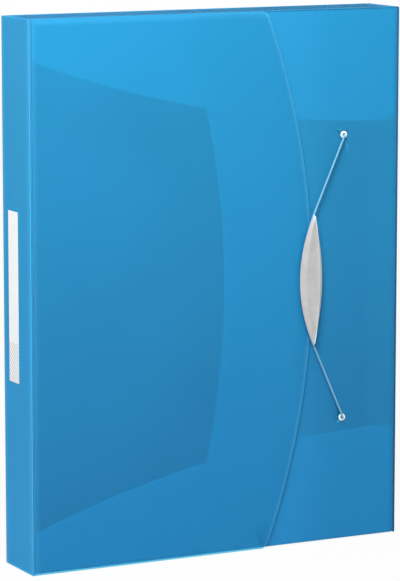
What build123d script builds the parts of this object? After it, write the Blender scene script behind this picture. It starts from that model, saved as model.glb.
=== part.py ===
from build123d import *
import math
import os

os.makedirs("parts", exist_ok=True)

# Document box for A4 papers, creased from one plastic sheet and closed by an elastic cord.
# X runs along the width, from the spine at the left to the fore edge at the right.
# Y runs along the depth, with the front cover at the low side. Z is up.
# The origin is on the ground, at the middle of the box's base.

# Outer size of the closed box
width = 250.0
height = 330.0
depth = 40.0
sheet = 0.8

# A fold is a round bead as thick as two sheets, and a hinged panel starts just clear of its bead
bead = 0.8
hinge_gap = 0.05

left = -width / 2
right = width / 2
front = -depth / 2
back = depth / 2
mid = height / 2

# Sheets at the front, from the outside in, each by its outer face
cover_face = front
flap_face = front + 1.9
short_flap_face = front + 3.0

# Fold lines
spine_fold = left + bead
wall_fold = right - bead
back_fold = back - bead
cover_fold = front + bead
flap_fold = flap_face + bead
short_fold = short_flap_face + bead
top_fold = height - bead
tab_fold_left = left + sheet + bead
tab_fold_right = right - sheet - bead

# Free edges: each is an arc, given by its radius and its farthest point from the panel's fold
cover_reach = 188.4
cover_arc = 450.0
cover_corner = 6.0
flap_reach = 121.4
flap_arc = 481.0
flap_corner = 11.0
flap_inset = 0.6
short_flap_drop = 69.7
short_flap_arc = 705.0
short_left = left + 2.7
short_right = right - 2.4
short_corner = 6.0

# Corner tabs
tab_length = 39.5
tab_front = front + 5.0
tab_back = back - 2.1
tab_corner = 3.0

# Clasp: a lens with a hooked left side over a narrower foot
clasp_tip = 63.6
clasp_half = 40.25
clasp_left_bulge = 9.5
clasp_right_bulge = 5.6
foot_tip = 63.85
foot_half = 38.2
foot_left_bulge = 7.25
foot_right_bulge = 5.15
foot_height = 1.6
lip_height = 1.4
pin_radius = 1.0
pin_x = 60.0
pin_offset = 18.0
backing_thickness = 0.5

# Eyelets and elastic cord
eyelet_x = 86.0
eyelet_offset = 88.0
eyelet_bore = 0.95
eyelet_barrel = 1.5
eyelet_flange = 2.25
flange_thickness = 0.7
rolled_flange = 2.1
rolled_thickness = 0.5
cord_radius = 0.55
cord_level = front - 0.8
cord_exit = front + 0.1
tag_level = front + 4.0
tag_length = 8.0

# Paper label on the spine
label_height = 102.6
label_bottom = 112.9
label_back = back - 8.2
label_width = 13.7
label_thickness = 0.1

# Back panel: a flat sheet with a bead along each of its four folds
with BuildPart() as back_panel:
    with BuildSketch(Plane.XZ.offset(-back)):
        with Locations((0, mid)):
            Rectangle(wall_fold - spine_fold, height - 2 * bead)
    extrude(amount=sheet)
    with BuildSketch(Plane.XY.offset(bead)):
        with Locations((spine_fold, back_fold), (wall_fold, back_fold)):
            Circle(bead)
    extrude(amount=height - 2 * bead)
    with BuildSketch(Plane.YZ.offset(left + 2)):
        with Locations((back_fold, bead), (back_fold, top_fold)):
            Circle(bead)
    extrude(amount=width - 4)
back_panel.part.label = "back_panel"
export_step(back_panel.part, "parts/back_panel.step")

# Spine: fixed along the back panel's bead, with the cover's bead along its front
with BuildPart() as spine_panel:
    with BuildSketch(Plane.YZ.offset(left)):
        with Locations((0, mid)):
            Rectangle(depth - 2 * bead, height)
    extrude(amount=sheet)
    with BuildSketch(Plane.XY.offset(bead)):
        with Locations((spine_fold, back_fold)):
            Circle(bead)
    extrude(amount=height - 2 * bead, mode=Mode.SUBTRACT)
    with BuildSketch():
        with Locations((spine_fold, cover_fold)):
            Circle(bead)
    extrude(amount=height)
spine_panel.part.label = "spine_panel"
export_step(spine_panel.part, "parts/spine_panel.step")

# Fore-edge wall: mirrors the spine, with its front bead further in
with BuildPart() as fore_edge_wall:
    with BuildSketch(Plane.YZ.offset(right - sheet)):
        with Locations(((flap_fold + back_fold) / 2, mid)):
            Rectangle(back_fold - flap_fold, height)
    extrude(amount=sheet)
    with BuildSketch(Plane.XY.offset(bead)):
        with Locations((wall_fold, back_fold)):
            Circle(bead)
    extrude(amount=height - 2 * bead, mode=Mode.SUBTRACT)
    with BuildSketch(Plane.XY.offset(flap_inset)):
        with Locations((wall_fold, flap_fold)):
            Circle(bead)
    extrude(amount=height - 2 * flap_inset)
fore_edge_wall.part.label = "fore_edge_wall"
export_step(fore_edge_wall.part, "parts/fore_edge_wall.step")

# Top wall: lies between the spine and the fore-edge wall
with BuildPart() as top_wall:
    with BuildSketch(Plane.XY.offset(top_fold)):
        with Locations((0, (short_fold + back_fold) / 2)):
            Rectangle(tab_fold_right - tab_fold_left, back_fold - short_fold)
    extrude(amount=sheet)
    with BuildSketch(Plane.YZ.offset(left + 2)):
        with Locations((back_fold, top_fold)):
            Circle(bead)
    extrude(amount=width - 4, mode=Mode.SUBTRACT)
    with BuildSketch(Plane.XZ.offset(-tab_back)):
        with Locations((tab_fold_left, top_fold), (tab_fold_right, top_fold)):
            Circle(bead)
    extrude(amount=tab_back - tab_front, mode=Mode.SUBTRACT)
    with BuildSketch(Plane.YZ.offset(short_left)):
        with Locations((short_fold, top_fold)):
            Circle(bead)
    extrude(amount=short_right - short_left)
top_wall.part.label = "top_wall"
export_step(top_wall.part, "parts/top_wall.step")

# Bottom wall: the same wall on the ground
with BuildPart() as bottom_wall:
    add(mirror(top_wall.part, about=Plane.XY.offset(mid), mode=Mode.PRIVATE))
bottom_wall.part.label = "bottom_wall"
export_step(bottom_wall.part, "parts/bottom_wall.step")

# Corner tabs: each hangs on its bead at an end of the top or bottom wall and lies on the side wall
with BuildPart() as top_spine_tab:
    with BuildSketch(Plane.YZ.offset(left + sheet)):
        with Locations(((tab_front + tab_back) / 2, top_fold - tab_length / 2)):
            Rectangle(tab_back - tab_front, tab_length)
    extrude(amount=sheet)
    fillet(top_spine_tab.edges().filter_by(Axis.X).group_by(Axis.Z)[0], tab_corner)
    with BuildSketch(Plane.XZ.offset(-tab_back)):
        with Locations((tab_fold_left, top_fold)):
            Circle(bead)
    extrude(amount=tab_back - tab_front)
top_spine_tab.part.label = "top_spine_tab"
export_step(top_spine_tab.part, "parts/top_spine_tab.step")

with BuildPart() as bottom_spine_tab:
    add(mirror(top_spine_tab.part, about=Plane.XY.offset(mid), mode=Mode.PRIVATE))
bottom_spine_tab.part.label = "bottom_spine_tab"
export_step(bottom_spine_tab.part, "parts/bottom_spine_tab.step")

with BuildPart() as top_fore_edge_tab:
    add(mirror(top_spine_tab.part, about=Plane.YZ, mode=Mode.PRIVATE))
top_fore_edge_tab.part.label = "top_fore_edge_tab"
export_step(top_fore_edge_tab.part, "parts/top_fore_edge_tab.step")

with BuildPart() as bottom_fore_edge_tab:
    add(mirror(bottom_spine_tab.part, about=Plane.YZ, mode=Mode.PRIVATE))
bottom_fore_edge_tab.part.label = "bottom_fore_edge_tab"
export_step(bottom_fore_edge_tab.part, "parts/bottom_fore_edge_tab.step")

# Front cover: hinged on the spine, with a bowed free edge that stops short of the fore edge
cover_tip_x = left + cover_reach
cover_drop = cover_arc - math.sqrt(cover_arc**2 - mid**2)
with BuildPart() as front_cover:
    with BuildSketch(Plane.XZ.offset(-front - sheet)):
        with BuildLine():
            edge = ThreePointArc(
                (cover_tip_x - cover_drop, 0), (cover_tip_x, mid), (cover_tip_x - cover_drop, height)
            )
            Polyline(edge @ 1, (spine_fold + bead + hinge_gap, height), (spine_fold + bead + hinge_gap, 0), edge @ 0)
        outline = make_face()
        fillet(outline.vertices().group_by(Axis.X)[-1], cover_corner)
        with Locations((pin_x, mid - pin_offset), (pin_x, mid + pin_offset)):
            Circle(pin_radius + hinge_gap, mode=Mode.SUBTRACT)
    extrude(amount=sheet)
front_cover.part.label = "front_cover"
export_step(front_cover.part, "parts/front_cover.step")

# Fore-edge flap: under the cover, with a hollow free edge and two eyelet holes
flap_free_x = right - flap_reach
flap_half = mid - flap_inset
flap_swell = flap_arc - math.sqrt(flap_arc**2 - flap_half**2)
with BuildPart() as fore_edge_flap:
    with BuildSketch(Plane.XZ.offset(-flap_face - sheet)):
        with BuildLine():
            edge = ThreePointArc(
                (flap_free_x - flap_swell, flap_inset),
                (flap_free_x, mid),
                (flap_free_x - flap_swell, height - flap_inset),
            )
            Polyline(
                edge @ 1,
                (wall_fold - bead - hinge_gap, height - flap_inset),
                (wall_fold - bead - hinge_gap, flap_inset),
                edge @ 0,
            )
        outline = make_face()
        fillet(outline.vertices().group_by(Axis.X)[0], flap_corner)
        with Locations((eyelet_x, mid - eyelet_offset), (eyelet_x, mid + eyelet_offset)):
            Circle(eyelet_barrel, mode=Mode.SUBTRACT)
    extrude(amount=sheet)
fore_edge_flap.part.label = "fore_edge_flap"
export_step(fore_edge_flap.part, "parts/fore_edge_flap.step")

# Top flap: the innermost sheet, short at the spine and long at the fore edge
flap_low = height - short_flap_drop
centre_z = flap_low + short_flap_arc


def short_edge(x):
    """Height of the top flap's curved edge at x."""
    return centre_z - math.sqrt(short_flap_arc**2 - (x - right) ** 2)


flap_root = top_fold - bead - hinge_gap
with BuildPart() as top_flap:
    with BuildSketch(Plane.XZ.offset(-short_flap_face - sheet)):
        with BuildLine():
            edge = ThreePointArc(
                (short_left, short_edge(short_left)),
                (0, short_edge(0)),
                (short_right, short_edge(short_right)),
            )
            Polyline(edge @ 1, (short_right, flap_root), (short_left, flap_root), edge @ 0)
        outline = make_face()
        fillet(outline.vertices().group_by(Axis.Y)[0], short_corner)
        fillet(outline.vertices().group_by(Axis.X)[0].sort_by(Axis.Y)[0], short_corner)
    extrude(amount=sheet)
top_flap.part.label = "top_flap"
export_step(top_flap.part, "parts/top_flap.step")

with BuildPart() as bottom_flap:
    add(mirror(top_flap.part, about=Plane.XY.offset(mid), mode=Mode.PRIVATE))
bottom_flap.part.label = "bottom_flap"
export_step(bottom_flap.part, "parts/bottom_flap.step")

# Clasp: a foot on the cover, a wider lip over the cord's groove, and two pins through the cover
with BuildPart() as clasp:
    with BuildSketch(Plane.XZ.offset(-front)):
        with BuildLine():
            foot_left = ThreePointArc(
                (foot_tip, mid - foot_half), (foot_tip - foot_left_bulge, mid), (foot_tip, mid + foot_half)
            )
            ThreePointArc(foot_left @ 1, (foot_tip + foot_right_bulge, mid), foot_left @ 0)
        make_face()
    extrude(amount=foot_height)
    with BuildSketch(Plane.XZ.offset(-front + foot_height)) as lip:
        with BuildLine():
            lip_left = ThreePointArc(
                (clasp_tip, mid - clasp_half),
                (clasp_tip - clasp_left_bulge, mid),
                (clasp_tip, mid + clasp_half),
            )
            ThreePointArc(lip_left @ 1, (clasp_tip + clasp_right_bulge, mid), lip_left @ 0)
        make_face()
    extrude(amount=lip_height)
    chamfer(clasp.faces().sort_by(Axis.Y)[0].edges(), 0.5)
    with BuildSketch(Plane.XZ.offset(-front + foot_height + lip_height)):
        with BuildLine():
            dish_left = ThreePointArc(
                (clasp_tip - 1, mid - 30), (clasp_tip - clasp_left_bulge + 2.6, mid), (clasp_tip - 1, mid + 30)
            )
            ThreePointArc(dish_left @ 1, (clasp_tip + clasp_right_bulge - 2.4, mid), dish_left @ 0)
        make_face()
    extrude(amount=-0.4, mode=Mode.SUBTRACT)
    with BuildSketch(Plane.XZ.offset(-front)):
        with Locations((pin_x, mid - pin_offset), (pin_x, mid + pin_offset)):
            Circle(pin_radius)
    extrude(amount=-sheet - backing_thickness)
clasp.part.label = "clasp"
export_step(clasp.part, "parts/clasp.step")

# Backing strip behind the cover, which the clasp's pins are staked to
with BuildPart() as clasp_backing:
    with BuildSketch(Plane.XZ.offset(-front - sheet - backing_thickness)):
        with Locations((pin_x, mid)):
            SlotOverall(48, 4.4, rotation=90)
        with Locations((pin_x, mid - pin_offset), (pin_x, mid + pin_offset)):
            Circle(pin_radius, mode=Mode.SUBTRACT)
    extrude(amount=backing_thickness)
clasp_backing.part.label = "clasp_backing"
export_step(clasp_backing.part, "parts/clasp_backing.step")

# Eyelets: a barrel through the flap with a round front flange and a rolled back flange
with BuildPart() as upper_eyelet:
    with BuildSketch(Plane.XZ.offset(-flap_face)):
        with Locations((eyelet_x, mid + eyelet_offset)):
            Circle(eyelet_flange)
    extrude(amount=flange_thickness)
    fillet(upper_eyelet.faces().sort_by(Axis.Y)[0].edges(), 0.4)
    with BuildSketch(Plane.XZ.offset(-flap_face)):
        with Locations((eyelet_x, mid + eyelet_offset)):
            Circle(eyelet_barrel)
    extrude(amount=-sheet)
    with BuildSketch(Plane.XZ.offset(-flap_face - sheet)):
        with Locations((eyelet_x, mid + eyelet_offset)):
            Circle(rolled_flange)
    extrude(amount=-rolled_thickness)
    fillet(upper_eyelet.faces().sort_by(Axis.Y)[-1].edges(), 0.2)
    with BuildSketch(Plane.XZ.offset(-flap_face + flange_thickness)):
        with Locations((eyelet_x, mid + eyelet_offset)):
            Circle(eyelet_bore)
    extrude(amount=-flange_thickness - sheet - rolled_thickness, mode=Mode.SUBTRACT)
upper_eyelet.part.label = "upper_eyelet"
export_step(upper_eyelet.part, "parts/upper_eyelet.step")

with BuildPart() as lower_eyelet:
    add(mirror(upper_eyelet.part, about=Plane.XY.offset(mid), mode=Mode.PRIVATE))
lower_eyelet.part.label = "lower_eyelet"
export_step(lower_eyelet.part, "parts/lower_eyelet.step")


# Cord tags: a small bar that lies behind the eyelet, with a hub that takes the cord's end
def tag_plane(z, lean):
    """Plane across the tag's bar, leaning from upright by some degrees."""
    turned = math.radians(lean)
    along = (math.sin(turned), 0, math.cos(turned))
    start = (eyelet_x - along[0] * tag_length / 2, tag_level, z - along[2] * tag_length / 2)
    return Plane(origin=start, z_dir=along)


with BuildPart() as upper_cord_tag:
    with BuildSketch(tag_plane(mid + eyelet_offset, -27)):
        Circle(0.7)
    extrude(amount=tag_length)
    fillet(upper_cord_tag.edges().filter_by(GeomType.CIRCLE), 0.3)
    with BuildSketch(Plane.XZ.offset(-tag_level - 0.7)):
        with Locations((eyelet_x, mid + eyelet_offset)):
            Circle(1.2)
    extrude(amount=1.4)
    with BuildSketch(Plane.XZ.offset(-tag_level)):
        with Locations((eyelet_x, mid + eyelet_offset)):
            Circle(cord_radius + hinge_gap)
    extrude(amount=1.4, mode=Mode.SUBTRACT)
upper_cord_tag.part.label = "upper_cord_tag"
export_step(upper_cord_tag.part, "parts/upper_cord_tag.step")

with BuildPart() as lower_cord_tag:
    with BuildSketch(tag_plane(mid - eyelet_offset, 20)):
        Circle(0.7)
    extrude(amount=tag_length)
    fillet(lower_cord_tag.edges().filter_by(GeomType.CIRCLE), 0.3)
    with BuildSketch(Plane.XZ.offset(-tag_level - 0.7)):
        with Locations((eyelet_x, mid - eyelet_offset)):
            Circle(1.2)
    extrude(amount=1.4)
    with BuildSketch(Plane.XZ.offset(-tag_level)):
        with Locations((eyelet_x, mid - eyelet_offset)):
            Circle(cord_radius + hinge_gap)
    extrude(amount=1.4, mode=Mode.SUBTRACT)
lower_cord_tag.part.label = "lower_cord_tag"
export_step(lower_cord_tag.part, "parts/lower_cord_tag.step")

# Elastic cord: from tag to tag through the eyelets and round the clasp's foot
foot_radius = (foot_half**2 + foot_left_bulge**2) / (2 * foot_left_bulge)
groove_radius = foot_radius + cord_radius + hinge_gap
groove_centre = foot_tip - foot_left_bulge + foot_radius
wrap = math.degrees(math.asin(clasp_half / groove_radius))
step = wrap / 4
vertex_radius = groove_radius / math.cos(math.radians(step))


def groove_point(angle, radius):
    """Point over the cover beside the clasp's foot, by its angle from the middle of the groove."""
    turned = math.radians(angle)
    return (
        groove_centre - radius * math.cos(turned),
        cord_level,
        mid + radius * math.sin(turned),
    )


route = [
    (eyelet_x, tag_level - 0.1, mid + eyelet_offset),
    (eyelet_x, cord_exit, mid + eyelet_offset),
    groove_point(wrap, groove_radius),
    groove_point(3 * step, vertex_radius),
    groove_point(step, vertex_radius),
    groove_point(-step, vertex_radius),
    groove_point(-3 * step, vertex_radius),
    groove_point(-wrap, groove_radius),
    (eyelet_x, cord_exit, mid - eyelet_offset),
    (eyelet_x, tag_level - 0.1, mid - eyelet_offset),
]
turn_radii = [1.2, 20.0, 100.0, 100.0, 100.0, 100.0, 20.0, 1.2]
print("cord turn radii", turn_radii)
with BuildPart() as elastic_cord:
    with BuildLine() as cord_line:
        cord_path = FilletPolyline(*route, radius=turn_radii)
    with BuildSketch(Plane(origin=cord_path @ 0, z_dir=(0, -1, 0))):
        Circle(cord_radius)
    sweep(path=cord_path)
elastic_cord.part.label = "elastic_cord"
export_step(elastic_cord.part, "parts/elastic_cord.step")
full_tube = cord_path.length * math.pi * cord_radius**2
print("cord length", cord_path.length, "volume ratio", elastic_cord.part.volume / full_tube)

# Paper label on the spine
with BuildPart() as spine_label:
    with BuildSketch(Plane.YZ.offset(left - label_thickness)):
        with Locations((label_back - label_width / 2, label_bottom + label_height / 2)):
            Rectangle(label_width, label_height)
    extrude(amount=label_thickness)
spine_label.part.label = "spine_label"
export_step(spine_label.part, "parts/spine_label.step")
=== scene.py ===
# %% [markdown]
# # A creased document box in see-through blue sheet
#
# The box is one sheet of polypropylene, cut with a die and folded along creases. It stands on its
# bottom wall, closed by an elastic cord that hooks on a clasp. The real sizes and the joints come
# with the frame. This lesson dresses them: it models the flaps with rounded cut edges, the clasp,
# eyelets and cord, and then gives each one, and the frame's tags and label, a finish made from
# nodes.

# %% Load the frame
import math
import bpy
from mathutils import Matrix, Vector


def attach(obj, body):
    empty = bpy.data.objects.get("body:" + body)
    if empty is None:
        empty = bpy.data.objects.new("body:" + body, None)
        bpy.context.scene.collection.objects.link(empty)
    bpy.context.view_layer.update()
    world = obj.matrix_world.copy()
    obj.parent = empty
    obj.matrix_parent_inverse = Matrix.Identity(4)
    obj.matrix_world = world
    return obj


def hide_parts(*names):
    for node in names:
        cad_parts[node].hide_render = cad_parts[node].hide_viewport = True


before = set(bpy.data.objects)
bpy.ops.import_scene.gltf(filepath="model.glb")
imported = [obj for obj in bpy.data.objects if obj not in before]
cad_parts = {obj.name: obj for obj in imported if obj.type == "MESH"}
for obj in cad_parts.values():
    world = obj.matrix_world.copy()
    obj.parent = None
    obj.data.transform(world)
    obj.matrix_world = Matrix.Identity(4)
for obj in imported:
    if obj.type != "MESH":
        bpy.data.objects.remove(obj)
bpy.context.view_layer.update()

# %% [markdown]
# Lengths are written in millimetres, as on a drawing, and turned into metres where they are used.
# The box is 330 mm high, and most of what is on it is laid out up and down from its middle.

# %% Sizes
mm = 0.001
height, middle = 330, 165
print("box height", height, "mm, middle", middle, "mm")

# %% [markdown]
# The camera comes first, because every later choice is judged through it. A long lens far away
# gives the photograph's mild perspective. Blender fits the sensor's 36 mm to the longer side of
# the picture, which is 581 pixels high, so a focal length in pixels times 36 / 581 is the lens.
# Two small steps, to the left and down, bring the box to its place in the picture.

# %% Camera
turn, lift, distance = math.radians(-27.17), math.radians(8.77), 1.93
aim_left, aim_down = 0.0031, 0.0049
focal_pixels, sensor, picture_pixels = 3170, 36, 581
back = Vector((math.sin(turn) * math.cos(lift), -math.cos(turn) * math.cos(lift), math.sin(lift)))
side = Vector((math.cos(turn), math.sin(turn), 0))
up = back.cross(side)
box_middle = Vector((0, 0, middle * mm))
place = box_middle + back * distance - side * aim_left - up * aim_down
lens = bpy.data.cameras.new("camera")
lens.lens = focal_pixels * sensor / picture_pixels
lens.clip_end = 20
camera = bpy.data.objects.new("camera", lens)
camera.matrix_world = Matrix.Translation(place) @ Matrix((side, up, back)).transposed().to_4x4()
bpy.context.scene.collection.objects.link(camera)
bpy.context.scene.camera = camera
print("lens", round(lens.lens, 1), "mm")

# %% [markdown]
# Shader maths reads best as plain expressions. A small class wraps one socket, and its overloaded
# operators add Math nodes, so that `1 - mask` or `height * 0.2` works as written. Every other node
# comes from one method that takes the node's type, its settings and the values of its sockets.

# %% Shader helpers
class Wire:
    """One output socket, with Python's operators adding Math nodes."""

    def __init__(self, finish, socket):
        self.finish, self.socket = finish, socket

    def math(self, operation, *others, first=None):
        inputs = dict(enumerate([self if first is None else first, *others]))
        return self.finish.node("ShaderNodeMath", {"operation": operation}, inputs)[0]

    def __add__(self, other):
        return self.math("ADD", other)

    def __radd__(self, other):
        return self.math("ADD", self, first=other)

    def __sub__(self, other):
        return self.math("SUBTRACT", other)

    def __rsub__(self, other):
        return self.math("SUBTRACT", self, first=other)

    def __mul__(self, other):
        return self.math("MULTIPLY", other)

    def __rmul__(self, other):
        return self.math("MULTIPLY", self, first=other)

    def __pow__(self, other):
        return self.math("POWER", other)

    def __abs__(self):
        return self.math("ABSOLUTE")

    def least(self, other):
        return self.math("MINIMUM", other)

    def most(self, other):
        return self.math("MAXIMUM", other)

    def root(self):
        return self.math("SQRT")

    def wave(self):
        return self.math("SINE")

    def fade(self, full, none):
        """1 where this value is at full, falling smoothly to 0 at none."""
        return self.finish.node(
            "ShaderNodeMapRange",
            {"interpolation_type": "SMOOTHSTEP"},
            {"Value": self, "From Min": full, "From Max": none, "To Min": 1.0, "To Max": 0.0},
        )[0]

    def near(self, span):
        """The same fade between two distances in millimetres."""
        return self.fade(span[0] * mm, span[1] * mm)


class Nodes:
    """The node tree of a material or of the world."""

    def __init__(self, owner):
        owner.use_nodes = True
        self.owner, self.tree = owner, owner.node_tree
        self.tree.nodes.clear()

    def node(self, kind, settings=None, values=None):
        made = self.tree.nodes.new(kind)
        for name, value in (settings or {}).items():
            setattr(made, name, value)
        for key, value in (values or {}).items():
            socket = made.inputs[key]
            if isinstance(value, Wire):
                self.tree.links.new(value.socket, socket)
            else:
                socket.default_value = value
        return [Wire(self, out) for out in made.outputs]


class Finish(Nodes):
    """A material under construction."""

    def __init__(self, name):
        super().__init__(bpy.data.materials.new(name))
        self.here = self.node("ShaderNodeTexCoord")[3]
        self.x, self.y, self.z = self.node("ShaderNodeSeparateXYZ", {}, {0: self.here})

    def noise(self, scale, detail):
        values = {"Vector": self.here, "Scale": scale, "Detail": detail}
        return self.node("ShaderNodeTexNoise", {}, values)[0]

    def blend(self, share, low, high):
        """Colour between low and high by share."""
        return self.node("ShaderNodeMix", {"data_type": "RGBA"}, {0: share, 6: low, 7: high})[2]

    def bump(self, height, depth):
        values = {"Height": height, "Distance": depth, "Strength": 1.0}
        return self.node("ShaderNodeBump", {}, values)[0]

    def skin(self, colour, roughness, normal, more=None):
        """The Principled surface that every finish here is made of."""
        values = {"Base Color": colour, "Roughness": roughness, "Normal": normal, **(more or {})}
        return self.node("ShaderNodeBsdfPrincipled", {}, values)[0]

    def close(self, shader):
        self.node("ShaderNodeOutputMaterial", {}, {"Surface": shader})
        return self.owner


print("shader helpers ready")

# %% [markdown]
# The sheet is milky blue and lets some light through, so the flaps show as lighter shapes where
# two layers lie together. A Mix Shader does that: part of each ray scatters on a satin blue
# surface, and the rest passes on, tinted. Every panel is a thin solid with two faces. The outer
# one has the fine slanted ribs that scatter light. The inner one is given a deep, dark blue that
# is painted shade of the box's inside, so each material tells them apart by the object's own
# coordinates.
#
# Creases turn paler because bending whitens the plastic. The paler band along the cut edges, which
# gather light, is a painted highlight. Those marks come from masks: a distance to a line or an arc,
# faded to 0 or 1.

# %% Masks for folds, edges and ribs
crease_span, bead_span, edge_highlight_span, rim_span = (0.8, 5.0), (0.95, 1.15), (0.3, 3.2), (0.05, 0.2)
groove_place, groove_span = 2.6, (0.0, 0.8)
rib_pitch, rib_drift = 2.1, 2.2


def strongest(masks):
    """The largest of some masks, or None where there are none."""
    top = None
    for mask in masks:
        top = mask if top is None else top.most(mask)
    return top


def fold_masks(axes, folds):
    """The whitened crease and the line pressed beside it, for all folds (axis letter, place)."""
    gaps = [abs(axes[axis] - place * mm) for axis, place in folds]
    crease = strongest([gap.near(crease_span) for gap in gaps])
    groove = strongest([abs(gap - groove_place * mm).near(groove_span) for gap in gaps])
    return crease, groove


def arc_gap(u, v, arc):
    """Distance to the arc (centre, centre, radius)."""
    return abs((((u - arc[0] * mm) ** 2.0) + ((v - arc[1] * mm) ** 2.0)).root() - arc[2] * mm)


def slanted_ribs(f, u, v):
    """Ribs that wander a little and fade out in patches."""
    drift = f.noise(60.0, 2.0) * (rib_drift * mm)
    wave = ((u + v + drift) * (2 * math.pi / (rib_pitch * mm))).wave()
    return wave * f.noise(70.0, 3.0).fade(0.60, 0.42)


print("masks ready")

# %% [markdown]
# The finish itself takes what differs from panel to panel. `share` and `inside` say how much the
# outer and the inner face scatter, so the rest of the light passes. `bead` is how far the round
# bead of a fold looks like the outer face, and the crease setting how pale the crease beside it
# is; a negative setting paints shade along the fold instead. The light falls off down the box and
# to the right, and the colours follow it as painted light and shade. `low` is the painted colour
# at the foot, and a painted shade to the right takes some share off the fore-edge flap, where
# nothing lies over it. `turned` marks the side of a bead that turns away from the light, which
# gets a painted highlight.

# %% Sheet finish
# Painted light and shade: the outer face is paler at the top than at the foot, the inner face's
# deep blue is painted shade of the box's inside, the bead colour is a painted highlight and the
# edge colour a painted highlight along cut edges.
outer_lit_top, outer_shaded_foot = (0.031, 0.380, 0.73, 1), (0.030, 0.325, 0.70, 1)
inner_shade_top, inner_shade_foot = (0.010, 0.115, 0.36, 1), (0.004, 0.022, 0.105, 1)
crease_white, edge_highlight = (0.16, 0.62, 0.95, 1), (0.45, 0.82, 0.98, 1)
painted_bead_highlight = (0.30, 0.75, 0.97, 1)
tint = (0.50, 0.93, 0.93, 1)


def sheet_finish(name, outer, share, folds=(), arc=None, grain=("x", "z"), inside=0.05, bead=0.5,
                 crease_whitening_and_shade=1.0, low=outer_shaded_foot, painted_right_shade=0.0, turned=None):
    """Blue sheet. outer is (axis letter, the way that the outer face looks, a place between the
    two faces), grain the two axes along the panel and turned (axis letter, full, none)."""
    f = Finish(name)
    axes = {"x": f.x, "y": f.y, "z": f.z}
    u, v = axes[grain[0]], axes[grain[1]]
    letter, way, between = outer
    ribbed = ((axes[letter] - between * mm) * way).math("GREATER_THAN", 0.0)
    crease, groove = fold_masks(axes, folds)
    for axis, place in folds:
        if bead and not (axis == "y" and place > 0):
            ribbed = ribbed.most(abs(axes[axis] - place * mm).near(bead_span) * bead)
    # The side of the bead that faces away from the light takes the outer colour, for a painted
    # highlight.
    if turned:
        painted_bead_side = axes[turned[0]].near(turned[1:])
        ribbed = ribbed.most(painted_bead_side)

    cloud, fine, ribs = f.noise(14.0, 2.0), f.noise(900.0, 2.0), slanted_ribs(f, u, v)
    # Painted light: paler towards the top; the inner face is darker towards the foot and to the
    # right, as painted shade.
    painted_top_light = f.z.fade(0.34, 0.0)
    across = f.x.fade(-0.10, 0.16) * 0.55 + 0.45
    pale = f.blend(painted_top_light + cloud * 0.4 - 0.2, low, outer_lit_top)
    inner_shade = f.blend(painted_top_light * across, inner_shade_foot, inner_shade_top)
    relief = ribs * 0.25 + fine * 0.5
    # The share of the fore-edge flap falls off to the right, a painted shade.
    body = f.x.fade(0.045, 0.085) * painted_right_shade + (share - inside - painted_right_shade)
    cover = ribbed * (ribs * 0.045 + body) + cloud * 0.05 + (inside - 0.025)
    if crease:
        # A positive crease setting whitens the bent plastic; a negative one paints shade along the
        # fold.
        pale = f.blend(crease * 0.12 * crease_whitening_and_shade, pale, crease_white)
        cover = cover + crease * ribbed * (0.07 * crease_whitening_and_shade)
        relief = relief - groove * 2.5
    # Painted highlight on the bead's side that faces away from the light.
    if turned:
        pale = f.blend(painted_bead_side * 0.7, pale, painted_bead_highlight)
    if arc:
        gap = arc_gap(u, v, arc)
        # A painted highlight along the cut edge; the rim itself is made more see-through.
        edge, rim = gap.near(edge_highlight_span), gap.near(rim_span)
        pale = f.blend(edge * 0.08, pale, edge_highlight)
        cover = (cover + edge * 0.08) * (1 - rim * 0.9)

    colour, normal = f.blend(ribbed, inner_shade, pale), f.bump(relief, 0.02 * mm)
    skin = f.skin(colour, fine * 0.10 + 0.45, normal, {"Specular IOR Level": 0.18})
    through = f.node("ShaderNodeBsdfTransparent", {}, {"Color": tint})[0]
    mixed = f.node("ShaderNodeMixShader", {}, {0: cover.least(1.0), 1: through, 2: skin})[0]
    return f.close(mixed)


print("sheet finish ready")

# %% [markdown]
# The cover and the flaps are cut alike: one long curved free edge, rounded corners and a straight
# side at the fold. Each starts as a plate of the sheet's thickness. A large cylinder gives the
# curve, by an intersection where the edge bulges and by a difference where it is hollow. Then a
# block that has itself been hollowed by a small cylinder cuts each corner round, and the whole
# rim gets the small radius that a die leaves. An arc is (centre x, centre z, radius), and the
# same three numbers cut the edge and later tell its finish where that edge runs.

# %% Helpers for modelling
def start_clean():
    if bpy.context.object and bpy.context.object.mode != "OBJECT":
        bpy.ops.object.mode_set(mode="OBJECT")
    bpy.ops.object.select_all(action="DESELECT")


def only(piece):
    start_clean()
    piece.select_set(True)
    bpy.context.view_layer.objects.active = piece


def settle(name, smooth=35):
    """Leave edit mode, put the piece's place in its mesh and smooth its round faces."""
    if bpy.context.object.mode != "OBJECT":
        bpy.ops.object.mode_set(mode="OBJECT")
    piece = bpy.context.object
    piece.name = piece.data.name = name
    only(piece)
    bpy.ops.object.transform_apply(location=True, rotation=True, scale=True)
    bpy.ops.object.shade_smooth_by_angle(angle=math.radians(smooth))
    return piece


def modify(piece, kind, **settings):
    made = piece.modifiers.new(kind.lower(), kind)
    for name, value in settings.items():
        setattr(made, name, value)
    only(piece)
    bpy.ops.object.modifier_apply(modifier=made.name)


def carve(piece, tool, operation):
    """Keep what the piece and the tool share, or take the tool away from the piece."""
    modify(piece, "BOOLEAN", operation=operation, object=tool, solver="EXACT")
    bpy.data.objects.remove(tool)


def plate(low, high):
    start_clean()
    centre = [(a + b) / 2 * mm for a, b in zip(low, high)]
    size = [(b - a) * mm for a, b in zip(low, high)]
    bpy.ops.mesh.primitive_cube_add(size=1, location=centre, scale=size)
    return settle("plate")


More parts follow.
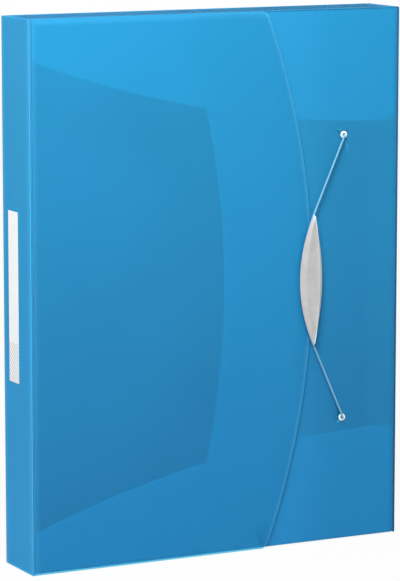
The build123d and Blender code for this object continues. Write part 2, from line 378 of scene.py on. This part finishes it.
def disc(x, z, radius, low_y, high_y, vertices=64):
    """A cylinder along y."""
    start_clean()
    bpy.ops.mesh.primitive_cylinder_add(
        vertices=vertices, radius=radius * mm, depth=(high_y - low_y) * mm,
        location=(x * mm, (low_y + high_y) / 2 * mm, z * mm), rotation=(math.pi / 2, 0, 0),
    )
    return settle("disc")


def dress(piece, material, body, slot, *nodes):
    """Give a piece its finish, the body that it rides on and the nodes that it stands for."""
    piece.data.materials.clear()
    piece.data.materials.append(material)
    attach(piece, body)
    if nodes:
        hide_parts(*nodes)
    print(piece.name, len(piece.data.polygons), "faces")


print("modelling helpers ready")

# %% Rounded corners
def round_corner(sheet, thickness, arc, operation, corner, small):
    """Round one corner between the curved edge and a straight side. A corner is (side, place, way):
    the side lies at axis side = place, and way is the corner's direction along the other axis.
    thickness is the sheet's two y levels, and small the corner's radius."""
    centre_x, centre_z, radius = arc
    side, place, way = corner
    bulges = operation == "INTERSECT"
    gap = radius - small if bulges else radius + small
    if side == "z":
        z = place - math.copysign(small, place - middle)
        x = centre_x + math.sqrt(gap**2 - (z - centre_z) ** 2)
    else:
        x = place - math.copysign(small, place)
        z = centre_z - math.sqrt(gap**2 - (x - centre_x) ** 2)
    touch = small * (1 if bulges else -1) / gap
    touch_x, touch_z = x + (x - centre_x) * touch, z + (z - centre_z) * touch
    if side == "z":
        (x1, z1), (x2, z2) = (x, touch_z), (x + 30 * way, place + math.copysign(5, place - middle))
    else:
        (x1, z1), (x2, z2) = (touch_x, z), (place + math.copysign(5, place), z + 30 * way)
    low_y, high_y = thickness[0] - 1, thickness[1] + 1
    block = plate((min(x1, x2), low_y, min(z1, z2)), (max(x1, x2), high_y, max(z1, z2)))
    carve(block, disc(x, z, small, low_y - 1, high_y + 1, 96), "DIFFERENCE")
    carve(sheet, block, "DIFFERENCE")


print("corner helper ready")

# %% Curved sheets
die_radius = 0.14


def curved_sheet(name, low, high, arc, operation, corners, small, bow=None):
    """A plate from low to high, cut by the cylinder of an arc, with corners of the small radius.
    bow gives an offset along y from x and z. A grid of cuts lets the plate follow it."""
    sheet = plate(low, high)
    carve(sheet, disc(*arc, low[1] - 2, high[1] + 2, 720), operation)
    for corner in corners:
        round_corner(sheet, (low[1], high[1]), arc, operation, corner, small)
    modify(sheet, "BEVEL", width=die_radius * mm, segments=2, limit_method="ANGLE", angle_limit=1.0)
    only(sheet)
    bpy.ops.object.mode_set(mode="EDIT")
    for axis, count in ((0, 14), (2, 18)):
        for k in range(1, count):
            bpy.ops.mesh.select_all(action="SELECT")
            point, normal = [0, 0, 0], [0, 0, 0]
            point[axis] = (low[axis] + (high[axis] - low[axis]) * k / count) * mm
            normal[axis] = 1
            bpy.ops.mesh.bisect(plane_co=point, plane_no=normal)
    bpy.ops.object.mode_set(mode="OBJECT")
    if bow:
        for vertex in sheet.data.vertices:
            vertex.co.y += bow(vertex.co.x / mm, vertex.co.z / mm) * mm
    return settle(name)


print("curved sheet helper ready")

# %% [markdown]
# The cover hangs on the spine's front fold. A closed cover of this thin sheet is never quite
# flat: between its fold and the clasp that holds it, it stands out by a fraction of a
# millimetre, which gives it a soft change of tone. A product of two sines makes that crown.

# %% Front cover
fold_x, fold_gap = 124.2, 0.85
cover_reach, cover_radius = 63.4, 450
cover_arc = (cover_reach - cover_radius, middle, cover_radius)
crown, crown_width = 0.3, 170


def cover_crown(x, z):
    across = min(max((x + fold_x - fold_gap) / crown_width, 0), 1)
    upward = min(max(z / height, 0), 1)
    return -crown * math.sin(math.pi * across) * math.sin(math.pi * upward)


cover = curved_sheet(
    "cover_sheet", (fold_gap - fold_x, -20, 0), (cover_reach, -19.2, height), cover_arc,
    "INTERSECT", [("z", 0, 1), ("z", height, 1)], 6, cover_crown,
)
cover_folds = [("x", -fold_x), ("z", height)]
cover_finish = sheet_finish(
    "cover sheet", ("y", -1, -19.75), 0.50, cover_folds, cover_arc, bead=1.0
)
dress(cover, cover_finish, "cover", "blue_sheet", "front_cover")

# %% [markdown]
# The fore-edge flap lies behind the cover. Its free edge is hollow, so here the cylinder is
# taken away from the plate. The two short flaps are the innermost layer, and one is modelled
# and the other mirrored, with a copy of the mesh of its own.

# %% Fore-edge flap
side_flap_reach, side_flap_radius = 3.6, 481
side_flap_arc = (side_flap_reach - side_flap_radius, middle, side_flap_radius)
eyelet_x, upper_eyelet_z, eyelet_gap = 86, 253, 176
side_flap = curved_sheet(
    "fore_edge_flap_sheet", (-30, -18.1, 0.6), (fold_x - fold_gap, -17.3, 329.4), side_flap_arc,
    "DIFFERENCE", [("z", 0.6, -1), ("z", 329.4, -1)], 11,
)
for hole_z in (upper_eyelet_z - eyelet_gap, upper_eyelet_z):
    carve(side_flap, disc(eyelet_x, hole_z, 1.5, -19, -16), "DIFFERENCE")
# Its share falls off to the right and its fold gets a negative crease setting, both painted shade.
side_flap_finish = sheet_finish(
    "fore-edge flap sheet", ("y", -1, -17.7), 0.62, [("x", fold_x)], side_flap_arc,
    painted_right_shade=0.11, crease_whitening_and_shade=-1.0,
)
dress(side_flap, side_flap_finish, "side_flap", "blue_sheet", "fore_edge_flap")

# %% Short flaps
short_depth, short_radius, short_centre_x = 69.7, 705, 125
top_flap_arc = (short_centre_x, height - short_depth + short_radius, short_radius)
bottom_flap_arc = (short_centre_x, short_depth - short_radius, short_radius)


def twin(piece):
    """Copy a piece with a mesh of its own, all selected in edit mode."""
    made = piece.copy()
    made.data = piece.data.copy()
    bpy.context.scene.collection.objects.link(made)
    only(made)
    bpy.ops.object.mode_set(mode="EDIT")
    bpy.ops.mesh.select_all(action="SELECT")
    return made


top_flap = curved_sheet(
    "top_flap_sheet", (-122.3, -17, 259), (122.6, -16.2, 328.35), top_flap_arc, "INTERSECT",
    [("x", -122.3, -1), ("x", 122.6, -1)], 6,
)
bottom_flap = twin(top_flap)
bpy.ops.transform.resize(value=(1, 1, -1), center_override=(0, 0, middle * mm))
bpy.ops.mesh.normals_make_consistent(inside=False)
settle("bottom_flap_sheet")
short_outer = ("y", -1, -16.6)
top_finish = sheet_finish("top flap sheet", short_outer, 0.76, [("z", 329.2)], top_flap_arc)
bottom_finish = sheet_finish("bottom flap sheet", short_outer, 0.66, [("z", 0.8)], bottom_flap_arc)
dress(top_flap, top_finish, "upper_flap", "blue_sheet", "top_flap")
dress(bottom_flap, bottom_finish, "lower_flap", "blue_sheet", "bottom_flap")

# %% [markdown]
# The tray's own panels have the right shape in the frame already, with a round bead along each
# fold, so they only need their finish. Each gets the fold lines that cross it, and a list of
# settings with the places in millimetres.

# %% Tray panels
walls = [("y", -16.2), ("y", 19.2), ("x", -123.4), ("x", 123.4)]
upper_fold, lower_fold = ("z", 329.2), ("z", 0.8)
flat, upright = ("x", "y"), ("y", "z")
# The spine's foot colour is painted light, a little paler than its top, against the light that
# falls off there.
spine_lit_foot = (0.028, 0.39, 0.82, 1)
# Where inside is high, the inner face's painted shade shows nearly opaque: on the back panel, the
# fore-edge wall, the bottom wall and the fore-edge tabs.
tray_panels = {
    "back_panel": dict(outer=("y", 1, 19.6), share=0.90, inside=0.85, bead=0,
                       folds=[("x", -fold_x), ("x", fold_x), lower_fold, upper_fold]),
    "spine_panel": dict(outer=("x", -1, -124.6), share=0.82, bead=0.6, low=spine_lit_foot, grain=upright,
                        turned=("x", -123.6, -124.2), folds=[("y", -19.2), ("y", 19.2)]),
    # The fore-edge wall's folds get painted shade from a negative crease setting.
    "fore_edge_wall": dict(outer=("x", 1, 124.6), share=0.72, inside=0.85, bead=0, crease_whitening_and_shade=-1.0,
                           grain=upright, folds=[("y", -17.3), ("y", 19.2)]),
    "top_wall": dict(outer=("z", 1, 329.6), share=0.33, grain=flat, folds=walls),
    "bottom_wall": dict(outer=("z", -1, 0.4), share=0.95, inside=0.9, grain=flat, folds=walls),
    "top_spine_tab": dict(outer=("x", -1, -123.8), share=0.85, inside=0.3, grain=upright,
                          folds=[upper_fold]),
    "bottom_spine_tab": dict(outer=("x", -1, -123.8), share=0.95, inside=0.3, low=spine_lit_foot,
                             grain=upright, folds=[lower_fold]),
    "top_fore_edge_tab": dict(outer=("x", 1, 123.8), share=0.85, inside=0.8, grain=upright,
                              folds=[upper_fold]),
    "bottom_fore_edge_tab": dict(outer=("x", 1, 123.8), share=0.85, inside=0.8, grain=upright,
                                 folds=[lower_fold]),
}


def paint(material, *nodes):
    """Give nodes that came with the frame a finish."""
    for node in nodes:
        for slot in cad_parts[node].material_slots:
            slot.material = material


for node, settings in tray_panels.items():
    paint(sheet_finish(node.replace("_", " ") + " sheet", **settings), node)
print(len(tray_panels), "panels finished")

# %% [markdown]
# The clasp is a lens of grey plastic. Two cylinders that share only a lens give its outline, once
# for the lip and once, narrower at the left, for the foot under it, and the groove between them
# holds the cord. The lip's face is extruded and drawn in towards the right, which leaves a wide
# facet at the left and a thin one at the right, as the photograph shows, and three more turns
# of the same press its middle in a little. Inset would be the usual tool, but at two such sharp
# tips it throws out spikes, so each ring is scaled instead.

# %% Clasp
lens_steps = ((0.63, 0.97, -0.9), (0.86, 0.985, 0.05), (0.72, 0.95, 0.16), (0.5, 0.85, 0.1))


def pick_faces(test):
    """In edit mode, select only the faces whose middle passes a test."""
    bpy.ops.mesh.select_mode(type="FACE")
    bpy.ops.mesh.select_all(action="DESELECT")
    bpy.ops.object.mode_set(mode="OBJECT")
    for face in bpy.context.object.data.polygons:
        face.select = bool(test(face.center))
    bpy.ops.object.mode_set(mode="EDIT")


def join(piece, *others):
    """Make one mesh of several pieces."""
    only(piece)
    for other in others:
        other.select_set(True)
    bpy.ops.object.join()


def lens_plate(left, right, low_y, high_y, tip=63.6, half=40.25):
    """A plate in the shape of a lens, its arcs bulging left and right of the line of its tips."""
    r1, r2 = (half**2 + left**2) / (2 * left), (half**2 + right**2) / (2 * right)
    piece = disc(tip - left + r1, middle, r1, low_y, high_y, 480)
    carve(piece, disc(tip + right - r2, middle, r2, low_y - 1, high_y + 1, 480), "INTERSECT")
    return piece


lip = lens_plate(9.5, 5.6, -22.1, -21.6)
only(lip)
bpy.ops.object.mode_set(mode="EDIT")
pick_faces(lambda p: p.y < -22.09 * mm)
for narrow, short, rise in lens_steps:
    bpy.ops.mesh.extrude_region_move(TRANSFORM_OT_translate={"value": (0, rise * mm, 0)})
    bpy.ops.transform.resize(
        value=(narrow, 1, short), center_override=(65.18 * mm, 0, middle * mm)
    )
bpy.ops.object.mode_set(mode="OBJECT")
foot = lens_plate(7.25, 5.15, -21.62, -20, 63.85, 38.2)
pins = [disc(60, z, 1.0, -20.02, -18.7, 32) for z in (middle - 18, middle + 18)]
join(lip, foot, *pins)
clasp = settle("clasp_body", 30)

# %% [markdown]
# Grey moulded plastic is satin, with a very fine spark-eroded grain and a trace of wear where the
# thumb and the cord rub it. The grain is bump from fine noise, and the wear is a slow noise that
# moves the roughness.

# %% Clasp finish
# The pale bluish rim along the clasp's right edge is a painted highlight.
clasp_highlight_arc, rim_highlight, clasp_highlight_span = (-78.25, middle, 147.45), (0.58, 0.76, 0.82, 1), (0.25, 0.9)


def moulded_finish(name, pale, dark, rough, rim=None):
    """Grey plastic, with a painted highlight along a rim where light comes through its lip, half a
    millimetre thick.
    """
    f = Finish(name)
    slow, fine = f.noise(160.0, 3.0), f.noise(4200.0, 2.0)
    colour = f.blend(slow.fade(0.35, 0.65), dark, pale)
    if rim:
        colour = f.blend(arc_gap(f.x, f.z, rim).near(clasp_highlight_span) * 0.8, colour, rim_highlight)
    return f.close(f.skin(colour, slow * 0.16 + rough, f.bump(fine, 0.012 * mm)))


clasp_finish = moulded_finish(
    "clasp plastic", (0.47, 0.46, 0.46, 1), (0.43, 0.42, 0.42, 1), 0.30, clasp_highlight_arc
)
tag_finish = moulded_finish("cord tag plastic", (0.62, 0.76, 0.84, 1), (0.55, 0.71, 0.80, 1), 0.35)
dress(clasp, clasp_finish, "cover", "clasp_plastic", "clasp")
paint(clasp_finish, "clasp_backing")
paint(tag_finish, "upper_cord_tag", "lower_cord_tag")

# %% [markdown]
# An eyelet is a tube set through a hole and rolled over at both ends. A torus pressed flat is its
# rolled front, a smaller one its back, and a short tube joins them. The second eyelet is a copy.

# %% Eyelets
def ring(major, minor, y, squash):
    """A torus pressed flat along y, at the upper eyelet."""
    start_clean()
    place = (eyelet_x * mm, y * mm, upper_eyelet_z * mm)
    bpy.ops.mesh.primitive_torus_add(
        major_segments=48, minor_segments=16, major_radius=major * mm, minor_radius=minor * mm,
        location=place, rotation=(math.pi / 2, 0, 0),
    )
    bpy.ops.object.mode_set(mode="EDIT")
    bpy.ops.transform.resize(value=(1, squash, 1), center_override=place)
    return settle("ring")


front_ring, back_ring = ring(1.6, 0.65, -18.44, 0.56), ring(1.55, 0.55, -17.08, 0.42)
barrel = disc(eyelet_x, upper_eyelet_z, 1.48, -18.4, -17.1, 48)
carve(barrel, disc(eyelet_x, upper_eyelet_z, 1.0, -19, -16.5, 48), "DIFFERENCE")
join(front_ring, back_ring, barrel)
upper_eyelet = settle("upper_eyelet_ring", 40)
lower_eyelet = twin(upper_eyelet)
bpy.ops.transform.translate(value=(0, 0, -eyelet_gap * mm))
settle("lower_eyelet_ring", 40)


def lacquer_finish():
    f = Finish("eyelet lacquer")
    slow, fine = f.noise(700.0, 3.0), f.noise(5200.0, 2.0)
    colour = f.blend(slow.fade(0.35, 0.65), (0.80, 0.84, 0.86, 1), (0.88, 0.91, 0.92, 1))
    bump = f.bump(fine, 0.008 * mm)
    return f.close(f.skin(colour, slow * 0.2 + 0.18, bump, {"Coat Weight": 0.4}))


eyelet_finish = lacquer_finish()
dress(upper_eyelet, eyelet_finish, "side_flap", "eyelet_metal", "upper_eyelet")
dress(lower_eyelet, eyelet_finish, "side_flap", "eyelet_metal", "lower_eyelet")

# %% [markdown]
# The cord is thin round elastic. It comes out of each eyelet, runs straight to a tip of the clasp
# and lies in the groove under the lip. A smooth spline is drawn through points that stand close
# together where it turns, given a round section, and made a mesh. Its braid is two sets of slanted
# ridges, waves that cross each other over the height and the width of the cord.

# %% Elastic cord
cord_radius, cord_order = 0.55, 3
upper_route = [
    (eyelet_x, -16.1, 88.0), (eyelet_x, -18.4, 88.0), (eyelet_x, -19.85, 88.0),
    (85.25, -19.93, 86.45), (75.0, -20.35, 64.2), (64.9, -20.8, 42.3), (63.0, -20.8, 37.9),
    (60.05, -20.8, 30.0), (55.85, -20.8, 10.5),
]
route = [(x, y, middle + z) for x, y, z in upper_route]
route += [(x, y, middle - z) for x, y, z in reversed(upper_route)]
line = bpy.data.curves.new("cord line", "CURVE")
line.dimensions = "3D"
spline = line.splines.new("NURBS")
spline.points.add(len(route) - 1)
for point, stop in zip(spline.points, route):
    point.co = (*(value * mm for value in stop), 1)
spline.order_u = cord_order
spline.use_endpoint_u = True
spline.resolution_u = 12
line.bevel_depth = cord_radius * mm
line.bevel_resolution = 4
line.use_fill_caps = True
cord = bpy.data.objects.new("elastic_cord_line", line)
bpy.context.scene.collection.objects.link(cord)
only(cord)
bpy.ops.object.convert(target="MESH")
cord = settle("elastic_cord_braid", 60)
print("cord from", len(route), "points,", len(cord.data.polygons), "faces")

# %% Cord finish
braid_pitch, braid_slant = 0.9, 1.2


def braid_finish():
    f = Finish("cord braid")
    along, around = f.z * (1 / mm), f.x * (1 / mm)
    left = ((along + around * braid_slant) * (2 * math.pi / braid_pitch)).wave()
    right = ((along - around * braid_slant) * (2 * math.pi / braid_pitch)).wave()
    weave = left.most(right)
    fuzz = f.noise(6000.0, 2.0)
    colour = f.blend(weave * 0.5 + 0.5, (0.07, 0.28, 0.46, 1), (0.17, 0.45, 0.64, 1))
    normal = f.bump(weave + fuzz * 0.4, 0.04 * mm)
    return f.close(f.skin(colour, fuzz * 0.2 + 0.55, normal, {"Sheen Weight": 0.3}))


dress(cord, braid_finish(), "elastic", "cord_elastic", "elastic_cord")

# %% [markdown]
# The label is uncoated white paper with a printed hatch across its lower quarter. The rest is
# left blank for writing. The hatch is a wave across slanted lines, kept to the lower end by the
# height, with the paper's fibres in its bump.

# %% Label
hatch_pitch = 2.6


def label_finish():
    f = Finish("label paper")
    fibre, slow = f.noise(3000.0, 4.0), f.noise(120.0, 2.0)
    lines = ((f.y + f.z) * (2 * math.pi / (hatch_pitch * mm))).wave().fade(0.7, 0.3)
    lower = f.z.fade(0.136, 0.138)
    paper = f.blend(slow.fade(0.35, 0.65), (0.95, 0.98, 0.98, 1), (0.98, 0.99, 0.99, 1))
    colour = f.blend(lines * lower * 0.7, paper, (0.45, 0.47, 0.50, 1))
    return f.close(f.skin(colour, fibre * 0.1 + 0.72, f.bump(fibre, 0.01 * mm)))


paint(label_finish(), "spine_label")
print("label finished")

# %% [markdown]
# A white room: the floor and the world show as plain white to the camera, and the object still
# rests on a soft shadow. Two large lamps give even light, the stronger one from above and to the
# left, so that the box is brightest at its top. A third lights the back without shining on the
# top wall, so glossy rays don't see it. The world is plain white where it is seen directly, in a
# gloss or through the sheet, and dimmer as a light, so that it doesn't wash out the shadow.

# %% Floor and world
start_clean()
bpy.ops.mesh.primitive_plane_add(size=6, location=(0, 0, -0.0004))
floor = settle("floor")
f = Finish("white floor")
seen = f.node("ShaderNodeLightPath")[0]
dull = f.node("ShaderNodeBsdfDiffuse", {}, {"Color": (0.45, 0.45, 0.45, 1)})[0]
glow = f.node("ShaderNodeEmission", {}, {"Color": (1, 1, 1, 1), "Strength": 1.03})[0]
white = f.node("ShaderNodeMixShader", {}, {0: seen * 0.9, 1: dull, 2: glow})[0]
floor.data.materials.append(f.close(white))

world = bpy.data.worlds.new("white room")
room = Nodes(world)
rays = {ray.socket.name: ray for ray in room.node("ShaderNodeLightPath")}
direct = rays["Is Camera Ray"].most(rays["Is Transmission Ray"]).most(rays["Is Glossy Ray"])
level = room.node("ShaderNodeMapRange", {}, {"Value": direct, "To Min": 0.32, "To Max": 1.0})[0]
sky = room.node("ShaderNodeBackground", {}, {"Color": (1, 1, 1, 1), "Strength": level})[0]
room.node("ShaderNodeOutputWorld", {}, {"Surface": sky})
bpy.context.scene.world = world
print("floor and world ready")

# %% Lamps
for name, spot, size, power in (
    ("key lamp", (-0.45, -0.58, 1.05), 0.55, 20.0),
    ("fill lamp", (1.1, -1.2, 0.7), 1.2, 3.0),
    ("back lamp", (0.6, 1.5, 1.1), 0.5, 6.0),
):
    lamp = bpy.data.lights.new(name, "AREA")
    lamp.shape, lamp.size, lamp.energy = "DISK", size, power
    light = bpy.data.objects.new(name, lamp)
    light.location = spot
    light.visible_glossy = name != "back lamp"
    aim = (box_middle - Vector(spot)).to_track_quat("-Z", "Y")
    light.rotation_euler = aim.to_euler()
    bpy.context.scene.collection.objects.link(light)
bpy.context.scene.view_settings.view_transform = "Standard"
print("lamps ready")
